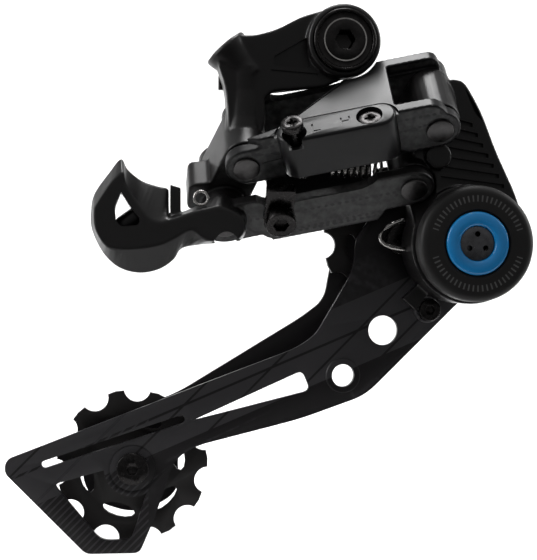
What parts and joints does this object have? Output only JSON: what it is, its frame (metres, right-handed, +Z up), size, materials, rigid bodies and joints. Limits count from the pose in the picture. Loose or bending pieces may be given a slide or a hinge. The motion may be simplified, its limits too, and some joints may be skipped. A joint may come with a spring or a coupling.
{
  "type": "rear bicycle derailleur",
  "caption": "Long-cage rear derailleur: slant parallelogram between two knuckles, clutch housing, sprung chain cage with toothed guide and tension pulleys.",
  "frame": {"origin": "centre of the tip face of the hanger bolt", "axes": "+X forward on the bicycle, +Y towards the wheel along the hanger bolt, +Z up"},
  "size_m": [0.1478, 0.0502, 0.1566],
  "materials": {
    "knuckle_black": "satin black anodised forging",
    "link_black": "semi-gloss black anodised forging",
    "cage_black": "satin black anodised sheet with grey print",
    "pulley_black": "moulded black nylon",
    "cover_black": "fine-grained black moulding",
    "badge_blue": "glossy blue",
    "screw_black": "black oxide",
    "pin_steel": "dark turned steel",
    "bearing_steel": "ground steel",
    "spring_steel": "dark spring wire",
    "bush_bronze": "sintered bronze"
  },
  "bodies": {
    "hanger_mount": {"hanger_bolt": "screw_black", "stop_washer": "bearing_steel"},
    "b_knuckle": {"b_knuckle": "knuckle_black", "hanger_bushing": "bush_bronze", "housing_sleeve": "cover_black"},
    "b_tension_screw": {"b_tension_screw": "screw_black"},
    "outer_link": {"outer_link": "link_black", "pin_a": "pin_steel", "pin_b": "pin_steel", "return_spring": "spring_steel"},
    "limit_screw_low": {"limit_screw_low": "screw_black"},
    "limit_screw_high": {"limit_screw_high": "screw_black"},
    "inner_link": {"inner_link": "link_black", "pin_c": "pin_steel", "pin_d": "pin_steel", "cable_clamp_plate": "screw_black", "cable_clamp_bolt": "screw_black"},
    "p_knuckle": {"p_knuckle": "knuckle_black", "pivot_bushing": "bush_bronze", "clutch_sleeve": "bearing_steel", "clutch_band": "bush_bronze", "clutch_cover": "cover_black", "clutch_badge": "badge_blue", "cage_spring": "spring_steel"},
    "cage": {"cage_outer_plate": "cage_black", "cage_inner_plate": "cage_black", "cage_axle": "bearing_steel", "axle_retainer": "spring_steel", "cage_stop_bolt": "screw_black", "upper_pulley_bolt": "screw_black", "lower_pulley_bolt": "screw_black", "upper_cap_outboard": "bearing_steel", "upper_cap_inboard": "bearing_steel", "lower_cap_outboard": "bearing_steel", "lower_cap_inboard": "bearing_steel"},
    "upper_pulley": {"upper_pulley": "pulley_black", "upper_bearing": "bearing_steel"},
    "lower_pulley": {"lower_pulley": "pulley_black", "lower_bearing": "bearing_steel"}
  },
  "joints": [
    {"name": "hanger_pivot", "type": "hinge", "parent": "hanger_mount", "child": "b_knuckle", "pos_m": [0, 0, 0], "axis": [0, 1, 0], "range_deg": [0, 35]},
    {"name": "b_tension_adjust", "type": "slide", "parent": "b_knuckle", "child": "b_tension_screw", "axis": [-1, 0, 0], "range_m": [0, 0.005]},
    {"name": "shift", "type": "hinge", "parent": "b_knuckle", "child": "outer_link", "pos_m": [-0.02784, 0.00664, -0.00664], "axis": [0, 0.7071, 0.7071], "range_deg": [0, 50], "stiffness_Nm_per_rad": 0.6, "springref_deg": -34.38, "deforming": ["return_spring"]},
    {"name": "inner_link_pivot", "type": "hinge", "parent": "b_knuckle", "child": "inner_link", "pos_m": [-0.03332, 0.01858, -0.01858], "axis": [0, 0.7071, 0.7071], "range_deg": [0, 50]},
    {"name": "p_knuckle_pivot", "type": "hinge", "parent": "outer_link", "child": "p_knuckle", "pos_m": [0.02471, -0.00345, 0.00345], "axis": [0, 0.7071, 0.7071], "range_deg": [-50, 0]},
    {"name": "low_limit_adjust", "type": "slide", "parent": "outer_link", "child": "limit_screw_low", "axis": [0.262, 0.6824, -0.6824], "range_m": [-0.0015, 0.0035]},
    {"name": "high_limit_adjust", "type": "slide", "parent": "outer_link", "child": "limit_screw_high", "axis": [0.262, 0.6824, -0.6824], "range_m": [-0.0035, 0]},
    {"name": "cage_pivot", "type": "hinge", "parent": "p_knuckle", "child": "cage", "pos_m": [0.03524, 0, -0.05742], "axis": [0, -1, 0], "range_deg": [0, 95], "stiffness_Nm_per_rad": 0.25, "springref_deg": -57.3},
    {"name": "upper_pulley_spin", "type": "hinge", "parent": "cage", "child": "upper_pulley", "pos_m": [0.01914, 0, -0.05551], "axis": [0, 1, 0], "continuous": true},
    {"name": "lower_pulley_spin", "type": "hinge", "parent": "cage", "child": "lower_pulley", "pos_m": [-0.05942, 0, -0.12171], "axis": [0, 1, 0], "continuous": true}
  ],
  "couplings": [
    {"joint": "inner_link_pivot", "follows": "shift", "ratio": 1},
    {"joint": "p_knuckle_pivot", "follows": "shift", "ratio": -1}
  ]
}
